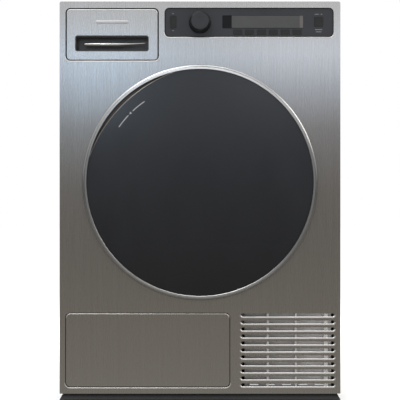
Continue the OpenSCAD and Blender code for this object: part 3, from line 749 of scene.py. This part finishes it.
def arc_bead(bm: BMesh, centre: Vector, radius: float, middle: float, half: float,
             bead: float, depth: float, steps: int = 40) -> None:
    """Sweeps a flattened bead along an arc about a Y axis.

    Args:
        bm: The mesh to add to.
        centre: Centre of the arc, with the bead's Y.
        radius: Radius of the arc.
        middle: Direction of its middle in degrees, from +X towards +Z.
        half: Half of the angle it spans, in degrees.
        bead: Half of the bead's width.
        depth: Half of the bead's depth along Y.
        steps: Steps along the arc.
    """
    place = (Matrix.Translation(centre) @ Matrix.Rotation(-math.radians(middle - half), 4, "Y")
             @ Matrix.Translation((radius, 0, 0)) @ Matrix.Diagonal((bead, depth, 1.0, 1.0)))
    first = circle(bm, place)
    close(bm, first, swing(bm, first, centre, math.radians(2 * half), steps))


def rounded_plate(bm: BMesh, low: Point, high: Point, corner: float, edge: float = 0.0) -> None:
    """Adds a plate with rounded corners in X and Z and a softened front edge.

    Args:
        bm: The mesh to add to.
        low: Lowest corner, at the front face.
        high: Highest corner, at the rear face.
        corner: Corner radius.
        edge: Width of the softened front edge.
    """
    middle = [(a + b) / 2 for a, b in zip(low, high)]
    size = [b - a for a, b in zip(low, high)]
    place = Matrix.Translation(middle) @ Matrix.Diagonal((*size, 1.0))
    made = bmesh.ops.create_cube(bm, size=1.0, matrix=place)
    upright = [e for e in edges_of(made["verts"]) if abs(e.verts[0].co.y - e.verts[1].co.y) > MERGE_DISTANCE]
    cut = soften(bm, upright, corner, 6)
    if edge:
        verts = {v for f in cut["faces"] for v in f.verts} | {v for v in made["verts"] if v.is_valid}
        soften(bm, [e for e in edges_of(verts)
                    if all(abs(v.co.y - low[1]) < MERGE_DISTANCE for v in e.verts)], edge, 2)


def edge_bead(name: str, body: str, box: tuple[Vector, Vector], corner: float, half: float = 0.75 * MM,
              depth: float = 0.45 * MM, sunk: float = 0.1 * MM) -> None:
    """Adds the softened upper edge of a pressed front, painted bright as a highlight.

    Args:
        name: The edge's name.
        body: The CAD body it rides on.
        box: Lowest and highest corner of the front.
        corner: The front's corner radius.
        half: Half of the bead's width.
        depth: Half of its depth.
        sunk: How far its middle lies behind the front.
    """
    low, high = box
    bm = bmesh.new()
    rim(bm, Vector((low.x + half, low.y + sunk, low.z + half)), Vector((high.x - half, low.y, high.z - half)),
        corner - half, half, depth, Side.UPPER)
    finished(bm, name, body, "brushed_steel", EDGE_STEEL_PAINTED_HIGHLIGHT)


def front_box(node: str) -> tuple[Vector, Vector]:
    """Gives the outline of a node as it shows on the front panel.

    Args:
        node: The node's name.

    Returns:
        Lowest and highest corner, without lugs and flanges behind the panel.
    """
    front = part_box(node)[0].y + 0.3 * MM
    points = [v.co for v in frame["nodes"][node].data.vertices if v.co.y < front]
    low = Vector(min(p[k] for p in points) for k in range(3))
    high = Vector(max(p[k] for p in points) for k in range(3))
    return low, high


def dress(finish: Finish, name: str, *nodes: str) -> None:
    """Gives CAD nodes a finish, with the name that its material has if it is new."""
    for node in nodes:
        WARDROBE.give(frame["nodes"][node], finish, name)


# ---- sub-assemblies ----


@dataclass
class Cabinet:
    """Front panel with its pressed edges, side panels, worktop, back and base."""

    corner: float = 10 * MM
    lip_half: float = 0.9 * MM
    lip_depth: float = 0.6 * MM
    # Depth of the dark bands that paint the shadow in the gaps, and how far past the gaps they reach.
    shadow_depth: float = 0.35 * MM
    shadow_cover: float = 0.8 * MM
    sunk: float = 0.1 * MM
    gaps: tuple[tuple[str, float, float], ...] = (
        ("drawer_front", 2.2 * MM, 2.2 * MM), ("service_flap", 1.0 * MM, 2.0 * MM),
        ("control_fascia", 1.0 * MM, 1.0 * MM))

    def build(self) -> None:
        """Dresses the cabinet and adds the edges of its openings: dark bands that paint the shadow in each
        gap, and lips painted bright as a highlight.
        """
        dress(STEEL_PAINTED_REFLECTION, "brushed_steel", "front_panel")
        dress(CABINET, "cabinet_paint", "side_panel_left", "side_panel_right")
        dress(LAMINATE, "worktop_laminate", "worktop")
        dress(ZINC, "galvanised", "rear_panel", "rear_duct_cover", "panel_screws", "hinge_bracket",
              "hinge_pin")
        dress(BASE, "base_moulding", "base_pan")
        dress(DARK, "dark_plastic", "mains_inlet", "tank_housing", "door_catch")
        dress(WHITE, "white_plastic", "drain_spigot", "lint_filter")
        dress(RUBBER, "rubber", "foot_front_left", "foot_front_right", "foot_rear_left", "foot_rear_right",
              "door_seal")
        dress(GREY, "grey_plastic", "front_bulkhead")
        gap_shadows, lips = bmesh.new(), bmesh.new()
        for node, gap, foot_gap in self.gaps:
            self.edge(gap_shadows, lips, front_box(node), gap, foot_gap)
        # Dark bands in the gaps: painted shadow.
        finished(gap_shadows, "opening_gap_shadows", "cabinet", "rubber", SHADOW)
        # The lips' bright steel is a painted highlight along the lower edges.
        finished(lips, "opening_lips", "cabinet", "brushed_steel", LIP_STEEL_PAINTED_HIGHLIGHT)

    def edge(self, gap_shadows: BMesh, lips: BMesh, box: tuple[Vector, Vector],
             gap: float, foot_gap: float) -> None:
        """Adds a dark band in the gap round one opening as painted shadow, and a rolled lip along its lower
        edge painted bright as a highlight.

        Args:
            gap_shadows: The mesh of the painted gap shadows.
            lips: The mesh of the lips.
            box: Outline of what fills the opening.
            gap: Gap at the sides and the top.
            foot_gap: Gap at the bottom.
        """
        wide, foot_wide = gap + self.shadow_cover, foot_gap + self.shadow_cover * 0.4
        shadow_half = wide / 2
        low = Vector((box[0].x - shadow_half, FRONT_Y + self.sunk, box[0].z - foot_wide + shadow_half))
        high = Vector((box[1].x + shadow_half, FRONT_Y, box[1].z + shadow_half))
        rim(gap_shadows, low, high, self.corner - gap / 2, shadow_half, self.shadow_depth)
        out, foot_out = wide + self.lip_half * 0.8, foot_wide + self.lip_half * 0.8
        low = Vector((box[0].x - out, FRONT_Y + self.sunk, box[0].z - foot_out))
        high = Vector((box[1].x + out, FRONT_Y, box[1].z + out))
        rim(lips, low, high, self.corner + self.shadow_cover, self.lip_half, self.lip_depth, Side.LOWER)


@dataclass
class Grille:
    """Slotted air grille with rolled lips under its slots, painted bright as a highlight."""

    count: int = 11
    pitch: float = 14.8 * MM
    slot: float = 7.0 * MM
    lip_half: float = 1.7 * MM
    lip_depth: float = 1.2 * MM
    margin: float = 6 * MM
    baffle_ends: tuple[float, float] = (8 * MM, 6 * MM)
    baffle_depth: tuple[float, float] = (9 * MM, 10.5 * MM)
    tabs: int = 5
    tab: tuple[float, float] = (19 * MM, 2.2 * MM)
    tab_depth: tuple[float, float] = (2 * MM, 9 * MM)
    first_tab: float = 0.14
    tab_step: float = 0.175

    def build(self) -> None:
        """Dresses the insert and adds the lips, the louvre sheet with its painted light, and white tabs in
        the lowest slot that paint a reflection.
        """
        dress(INSERT, "dark_plastic", "grille_insert")
        low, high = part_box("grille_insert")
        x0, x1, top = low.x + self.margin, high.x - self.margin, high.z - self.margin
        bm, half = bmesh.new(), self.lip_half
        for k in range(self.count):
            z1 = top - k * self.pitch
            start = Vector((x0 - half * 0.6, FRONT_Y - 0.1 * MM, z1 - self.slot - half * 0.8))
            end = Vector((x1 + half * 0.6, FRONT_Y, z1))
            rim(bm, start, end, self.slot / 2 + half * 0.7, half, self.lip_depth, Side.LOWER)
        # The lips' bright steel is a painted highlight.
        finished(bm, "grille_lips", "cabinet", "brushed_steel", LIP_STEEL_PAINTED_HIGHLIGHT)
        bm = bmesh.new()
        rounded_plate(bm, (x0 + self.baffle_ends[0], low.y + self.baffle_depth[0], low.z + 1 * MM),
                      (x1 - self.baffle_ends[1], low.y + self.baffle_depth[1], high.z - 1 * MM), 6 * MM)
        finished(bm, "grille_baffle", "cabinet", "dark_plastic", LOUVRE)
        # White tabs behind the lowest slot stand in for a reflection there: painted reflection.
        bm = bmesh.new()
        z = top - (self.count - 1) * self.pitch - self.slot / 2
        wide, tall = self.tab[0] / 2, self.tab[1] / 2
        for k in range(self.tabs):
            x = x0 + (x1 - x0) * (self.first_tab + self.tab_step * k)
            rounded_plate(bm, (x - wide, low.y + self.tab_depth[0], z - tall),
                          (x + wide, low.y + self.tab_depth[1], z + tall), 1 * MM, 0.3 * MM)
        finished(bm, "grille_reflection_tabs", "cabinet", "white_plastic", WHITE)


@dataclass
class Controls:
    """Fascia with the knob, the buttons, the display and its markings."""

    lens_edge: float = 20.8 * MM
    end_width: float = 8.0 * MM
    screen_foot: float = 1.8 * MM
    screen_top: float = 3.6 * MM
    shaft: float = 3 * MM
    brow: Outline = ((4.9, 1.5), (4.6, 0.5), (4.0, 0.8))
    skirt: Outline = ((1.5, -6.0), (1.1, -2.8), (0.2, -2.0), (0.0, -1.4), (0.0, 0.0))
    dish: Outline = ((5.9, 0.0), (5.1, 0.2), (4.7, 1.0))
    power_marks: tuple[Point, ...] = ((3.6, 0.0, 1.6), (-4.0, 0.0, 1.6))
    start_marks: tuple[Point, ...] = ((4.6, -4.2, 4.2), (4.6, 6.2, 1.8), (-5.0, 0.0, 7.6), (-9.6, 0.0, 6.0))
    mark_half: float = 0.55 * MM
    mark_depth: tuple[float, float] = (0.68 * MM, 1.0 * MM)

    def build(self) -> None:
        """Dresses the fascia and adds the knob, the screen and the marks."""
        dress(BUTTON, "button", *(f"option_button_{k}" for k in range(1, 7)), "power_button", "start_button")
        dress(FASCIA, "fascia_plastic", "control_fascia")
        dress(GLOSS, "display", "display_window")
        dress(BOARD, "board", "control_board")
        self.knob()
        self.screen()
        self.marks()

    def knob(self) -> None:
        """Adds the programme knob: a dished face on a tapered body with a collar, the body painted darker as
        the shade on its side wall.
        """
        low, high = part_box("program_knob")
        centre = joint_place("knob_turn")
        outer, front, back = (high.x - low.x) / 2, low.y, FRONT_Y + 0.4 * MM
        side = [(0.0, front + 1.5 * MM), *outline(self.brow, outer, front, -1),
                *outline(self.skirt, outer, back, -1), (self.shaft, back), (self.shaft, high.y),
                (0.0, high.y)]
        bm = bmesh.new()
        turned(bm, centre, side)
        body = finished(bm, "knob_body", "knob", "fascia_plastic", KNOB_SIDE_PAINTED_SHADE)
        face = [(0.0, front + 0.55 * MM), (outer * 0.5, front + 0.4 * MM),
                *outline(self.dish, outer, front, -1), (0.0, front + 1.4 * MM)]
        bm = bmesh.new()
        turned(bm, centre, face)
        cap = finished(bm, "knob_face", "knob", "fascia_plastic", KNOB)
        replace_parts(body, "program_knob")
        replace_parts(cap, "program_knob")

    def screen(self) -> None:
        """Adds the screen behind the lens and its lighter end, a painted reflection."""
        low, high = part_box("display_window")
        split = high.x - self.end_width
        for name, x0, x1, finish in (("display_screen", low.x + self.lens_edge, split, SCREEN),
                                     ("display_end_reflection", split, high.x - 1.0 * MM, SCREEN_END_PAINTED_REFLECTION)):
            bm = bmesh.new()
            rounded_plate(bm, (x0, low.y - 0.1 * MM, low.z + self.screen_foot),
                          (x1, low.y + 0.3 * MM, high.z - self.screen_top), 0.7 * MM)
            finished(bm, name, "cabinet", "display", finish)

    def marks(self) -> None:
        """Adds small plain marks by the power button and the start button.

        Each mark is given in millimetres: its height over the button's top, or under its foot if
        below zero, its shift along X, and half of its length.
        """
        bm = bmesh.new()
        front, back = (FRONT_Y + depth for depth in self.mark_depth)
        for node, places in (("power_button", self.power_marks), ("start_button", self.start_marks)):
            low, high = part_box(node)
            for dz, dx, half in places:
                x, z = (low.x + high.x) / 2 + dx * MM, (high.z if dz > 0 else low.z) + dz * MM
                rounded_plate(bm, (x - half * MM, front, z - self.mark_half),
                              (x + half * MM, back, z + self.mark_half), 0.4 * MM)
        finished(bm, "fascia_marks", "cabinet", "fascia_plastic", MARKING)


@dataclass
class WaterDrawer:
    """Water drawer with its grip recess.

    The bar's pulls are the share of its length, the scale of its section and its lift in
    millimetres from one section to the next.
    """

    corner: float = 7.8 * MM
    plate: tuple[float, float] = (71 * MM, 7 * MM)
    plate_place: tuple[float, float] = (96 * MM, 80 * MM)
    plate_depth: float = 0.4 * MM
    bar_ends: tuple[float, float] = (17 * MM, 8 * MM)
    bar_place: tuple[float, float] = (12 * MM, 17 * MM)
    bar_start: float = 1.4 * MM
    pulls: tuple[Point, ...] = (
        (0.02, 2.4, 0), (0.25, 1.1, 0), (0.3, 1.0, 0), (0.25, 0.5, 1.0), (0.18, 0.45, 1.4))

    def build(self) -> None:
        """Dresses the drawer and adds its edge, grip bar and blank badge."""
        dress(STEEL_PAINTED_REFLECTION, "brushed_steel", "drawer_front")
        dress(RECESS, "grip_plastic", "drawer_grip")
        dress(WHITE, "white_plastic", "water_tank")
        low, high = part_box("drawer_front")
        edge_bead("drawer_edge", "drawer", (low, high), self.corner)
        self.bar()
        x, z = low.x + self.plate_place[0], low.z + self.plate_place[1]
        wide, tall = self.plate[0] / 2, self.plate[1] / 2
        bm = bmesh.new()
        rounded_plate(bm, (x - wide, low.y - self.plate_depth, z - tall),
                      (x + wide, low.y + self.plate_depth, z + tall), 3.4 * MM, 0.25 * MM)
        finished(bm, "drawer_badge", "drawer", "brushed_steel", BADGE)

    def bar(self) -> None:
        """Adds the bright grip bar, thick at the left and tapered to a tip at the right."""
        low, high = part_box("drawer_grip")
        x0, x1 = low.x + self.bar_ends[0], high.x - self.bar_ends[1]
        start = Vector((x0, low.y + self.bar_place[0], low.z + self.bar_place[1]))
        bm = bmesh.new()
        place = Matrix.Translation(start) @ Matrix.Rotation(math.pi / 2, 4, "Y")
        made = bmesh.ops.create_circle(bm, cap_ends=True, segments=16, radius=self.bar_start, matrix=place)
        face = list({f for v in made["verts"] for f in v.link_faces})
        for share, size, lift in self.pulls:
            pulled = bmesh.ops.extrude_face_region(bm, geom=face)["geom"]
            bmesh.ops.delete(bm, geom=face, context="FACES_ONLY")
            verts, face = only(BMVert, pulled), only(BMFace, pulled)
            bmesh.ops.translate(bm, verts=verts, vec=((x1 - x0) * share, 0.0, lift * MM))
            centre = sum((v.co for v in verts), Vector()) / len(verts)
            bmesh.ops.scale(bm, verts=verts, vec=(1, size, size), space=Matrix.Translation(-centre))
        finished(bm, "drawer_grip_bar", "drawer", "polished_steel", CHROME)


@dataclass
class Door:
    """Round door with a bright ring and dark glass, both with a painted reflection, and a crescent grip."""

    ring_inner: float = 238 * MM
    face_width: float = 4.6 * MM
    ring_depth: float = 5.5 * MM
    ring_steps: int = 192
    face: Outline = ((0.0, 0.6), (0.5, 0.05), (3.9, 0.05), (4.5, 0.7), (4.5, 5.5))
    band: Outline = ((0.0, 0.9), (0.5, 0.5), (2.0, 1.0))
    band_rim: Outline = ((0.8, 2.2), (0.1, 3.6), (0.1, 5.5))
    grip_depth: float = 9 * MM
    grip_half: float = 33.0
    grip_middle: float = 135.0
    edge_half: float = 24.5
    edge_bead: tuple[float, float] = (0.75 * MM, 0.9 * MM)
    edge_out: float = 0.8 * MM
    # Band behind the crescent grip that paints its brownish reflection.
    reflection_band_half: float = 34.0
    reflection_band_in: float = 6.5 * MM
    reflection_band_back: float = 7.0 * MM
    reflection_band_bead: tuple[float, float] = (6.0 * MM, 1.0 * MM)
    mark_radius: float = 206 * MM
    mark_shift: float = 6.2
    mark_half: float = 4.4
    mark_bead: tuple[float, float] = (0.9 * MM, 0.25 * MM)
    arrow: tuple[float, float, float] = (3.4 * MM, 3.2 * MM, 0.5 * MM)

    def build(self) -> None:
        """Dresses the door and adds its ring, the edge of its grip, a band of painted reflection in the grip
        and the pull mark.
        """
        dress(GLASS_PAINTED_REFLECTION, "door_glass", "door_glass")
        dress(DOOR_FRAME, "dark_plastic", "door_frame")
        dress(GREY, "grey_plastic", "door_liner")
        dress(ZINC, "galvanised", "door_hinge_arm")
        dress(WHITE, "white_plastic", "door_hook")
        self.ring()
        self.grip_edge()
        self.grip_reflection_band()
        self.pull_mark()

    def middle(self, back: float = 0.0) -> Vector:
        """Gives the door's middle at a depth behind the face of its glass."""
        return Vector((DOOR_AXIS.x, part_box("door_glass")[0].y + back, DOOR_AXIS.z))

    def ring(self) -> None:
        """Adds the ring: a flat polished face on its inner side and a rolled band outside, parted by a
        groove; both have a painted reflection that shifts with height.
        """
        inner, split = self.ring_inner, self.ring_inner + self.face_width
        outer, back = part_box("door_ring")[1].x - DOOR_AXIS.x, DOOR_Y + self.ring_depth
        face = [(inner, back), *outline(self.face, inner, DOOR_Y), (inner, back)]
        band = [(split, back), *outline(self.band, split, DOOR_Y),
                *outline(self.band_rim, outer, DOOR_Y, -1), (split, back)]
        for name, profile, finish in (("ring_face", face, RING_FACE_PAINTED_REFLECTION), ("ring_band", band, RING_BAND_PAINTED_REFLECTION)):
            bm = bmesh.new()
            turned(bm, DOOR_AXIS, profile, self.ring_steps)
            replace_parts(finished(bm, name, "door", "polished_steel", finish), "door_ring")

    def grip_reflection_band(self) -> None:
        """Adds a brownish band behind the crescent that paints the reflection seen in the grip."""
        bm = bmesh.new()
        arc_bead(bm, self.middle(self.reflection_band_back), self.ring_inner - self.reflection_band_in, self.grip_middle,
                 self.reflection_band_half, *self.reflection_band_bead)
        finished(bm, "grip_reflection_band", "door", "dark_plastic", GRIP_PAINTED_REFLECTION)

    def grip_edge(self) -> None:
        """Adds the thin edge of the glass along the crescent grip, painted bright as a highlight."""
        reach = self.ring_inner - self.grip_depth
        shift = (self.ring_inner ** 2 - reach ** 2) / (
            2 * (reach - self.ring_inner * math.cos(math.radians(self.grip_half))))
        turn = math.radians(self.grip_middle)
        centre = self.middle(self.edge_bead[1]) - shift * Vector((math.cos(turn), 0.0, math.sin(turn)))
        bm = bmesh.new()
        arc_bead(bm, centre, reach + shift + self.edge_out, self.grip_middle, self.edge_half, *self.edge_bead)
        finished(bm, "grip_edge", "door", "polished_steel", GLASS_EDGE_PAINTED_HIGHLIGHT)

    def pull_mark(self) -> None:
        """Adds a plain curved mark with an arrow head that points to the grip."""
        centre = self.middle()
        bm = bmesh.new()
        for shift in (-self.mark_shift, self.mark_shift):
            arc_bead(bm, centre, self.mark_radius, self.grip_middle + shift, self.mark_half,
                     *self.mark_bead, 16)
        turn = math.radians(self.grip_middle)
        tip = centre + Vector((math.cos(turn), 0.0, math.sin(turn))) * self.mark_radius
        place = (Matrix.Translation(tip) @ Matrix.Rotation(-turn, 4, "Y")
                 @ Matrix.Rotation(math.pi / 2, 4, "X"))
        bmesh.ops.create_cone(bm, cap_ends=True, segments=3, radius1=self.arrow[0], radius2=self.arrow[1],
                              depth=self.arrow[2], matrix=place)
        finished(bm, "pull_mark", "door", "dark_plastic", SYMBOL)


@dataclass
class Inside:
    """Drum, drive, blower and heat pump."""

    def build(self) -> None:
        """Dresses everything behind the panels."""
        dress(DRUM, "drum_steel", "drum_shell")
        dress(LIFTER, "grey_plastic_smooth", "drum_lifters")
        dress(DRUM_WALL, "drum_wall_steel", "drum_rear_wall")
        dress(ZINC, "galvanised", "rear_bearing", "drive_motor", "motor_shaft")
        dress(RUBBER, "rubber", "drum_roller_left", "drum_roller_right", "drive_belt")
        dress(DARK, "dark_plastic", "blower_impeller")
        dress(GREY, "grey_plastic", "blower_housing", "exchanger_cover")
        dress(COMPRESSOR, "compressor_paint", "compressor")
        dress(ALUMINIUM, "fins", "exchanger_coils")
        dress(WHITE, "white_plastic", "exchanger_filter")


@dataclass
class ServiceFlap:
    """Service flap in its dark frame."""

    corner: float = 9 * MM

    def build(self) -> None:
        """Dresses the flap and its frame and adds the flap's edge."""
        dress(STEEL_PAINTED_REFLECTION, "brushed_steel", "service_flap")
        dress(DARK, "dark_plastic", "flap_frame")
        edge_bead("flap_edge", "flap", front_box("service_flap"), self.corner)


@dataclass(frozen=True)
class SoftLight:
    """One soft rectangular light, in metres and watts."""

    name: str
    place: Point
    aim: Point
    size: tuple[float, float]
    power: float
    colour: Colour = (1.0, 1.0, 1.0)

    def build(self) -> None:
        """Adds the light."""
        data = bpy.data.lights.new(self.name, "AREA")
        data.shape = "RECTANGLE"
        data.size, data.size_y = self.size
        data.energy = self.power
        data.color = self.colour
        light = show(self.name, data)
        light.location = self.place
        light.rotation_euler = (Vector(self.aim) - Vector(self.place)).to_track_quat("-Z", "Y").to_euler()


@dataclass
class Studio:
    """Camera, floor, lights and surroundings."""

    camera_distance: float = 2.0
    camera_height: float = 0.4294
    view_width: float = 0.8476
    sensor: float = 36.0
    floor_half: float = 12.0
    lights: tuple[SoftLight, ...] = (
        SoftLight("key", (-1.2, -1.5, 3.6), (0.0, 0.0, 0.4), (2.4, 2.4), 60.0, (0.94, 0.97, 1.0)),
        SoftLight("fill", (2.8, -1.2, 2.2), (0.0, 0.0, 0.4), (1.6, 1.6), 24.0, (1.0, 0.97, 0.94)),
        SoftLight("top", (0.0, 0.6, 3.6), (0.0, 0.2, 0.0), (3.0, 3.0), 90.0),
        SoftLight("back", (0.6, 3.2, 2.0), (0.0, 0.0, 0.4), (2.0, 2.0), 40.0),
        SoftLight("left_window", (-0.55, -3.29, 1.06), (-0.2, FRONT_Y, 0.69), (0.22, 0.30), 1.35,
                  (0.58, 0.80, 1.0)),
        SoftLight("right_window", (0.62, -3.29, 1.17), (0.2, FRONT_Y, 0.72), (0.8, 0.26), 1.0,
                  (0.82, 0.90, 1.0)))
    reflected: Tones = (
        (0.0, (0.40, 0.385, 0.36)), (0.39, (0.40, 0.385, 0.36)), (0.46, (0.24, 0.23, 0.21)),
        (0.515, (0.20, 0.19, 0.18)), (0.545, (0.62, 0.65, 0.70)), (0.575, (0.90, 0.93, 0.98)),
        (0.63, (0.86, 0.84, 0.81)), (1.0, (1.0, 1.0, 1.0)))
    reflected_strength: float = 0.9

    def build(self) -> None:
        """Adds everything round the object."""
        self.camera()
        self.floor()
        for light in self.lights:
            light.build()
        self.world()
        bpy.context.scene.view_settings.view_transform = "Standard"

    def camera(self) -> None:
        """Adds the level camera straight in front of the door."""
        data = bpy.data.cameras.new("camera")
        data.sensor_width = self.sensor
        data.lens = self.sensor * self.camera_distance / self.view_width
        camera = show("camera", data)
        camera.location = (0.0, FRONT_Y - self.camera_distance, self.camera_height)
        camera.rotation_euler = (math.pi / 2, 0.0, 0.0)
        bpy.context.scene.camera = camera

    def floor(self) -> None:
        """Adds the pale floor."""
        bm = bmesh.new()
        bmesh.ops.create_grid(bm, x_segments=1, y_segments=1, size=self.floor_half)
        floor = show_mesh(bm, "floor")
        WARDROBE.give(floor, StudioFloor(), "floor")
        floor.visible_glossy = False

    def world(self) -> None:
        """Makes the surroundings: white to look at, dark below and bright above to reflect."""
        world = bpy.data.worlds.new("studio")
        bpy.context.scene.world = world
        world.use_nodes = True
        tree = Tree(world.node_tree)
        height = tree.split(tree.node("ShaderNodeTexCoord").outputs["Generated"])["Z"]
        sky = tree.ramp(tree.spread(height, 0.0, 1.0, -1.0, 1.0), self.reflected)
        lit = tree.node("ShaderNodeBackground", Color=sky, Strength=self.reflected_strength)
        plain = tree.node("ShaderNodeBackground", Color=(1.0, 1.0, 1.0), Strength=1.0)
        seen = tree.node("ShaderNodeLightPath").outputs["Is Camera Ray"]
        mix = tree.node("ShaderNodeMixShader")
        for socket, source in zip(mix.inputs, (seen, lit.outputs[0], plain.outputs[0])):
            tree.feed(socket, source)
        tree.node("ShaderNodeOutputWorld", Surface=mix.outputs[0])


def main() -> None:
    """Builds the studio and every sub-assembly in order."""
    logging.basicConfig(level=logging.INFO, format="%(name)s: %(message)s")
    for part in (Studio(), Cabinet(), Grille(), Controls(), WaterDrawer(), Door(), ServiceFlap(), Inside()):
        part.build()
        LOG.info("built %s", type(part).__name__)


if __name__ == "__main__":
    main()
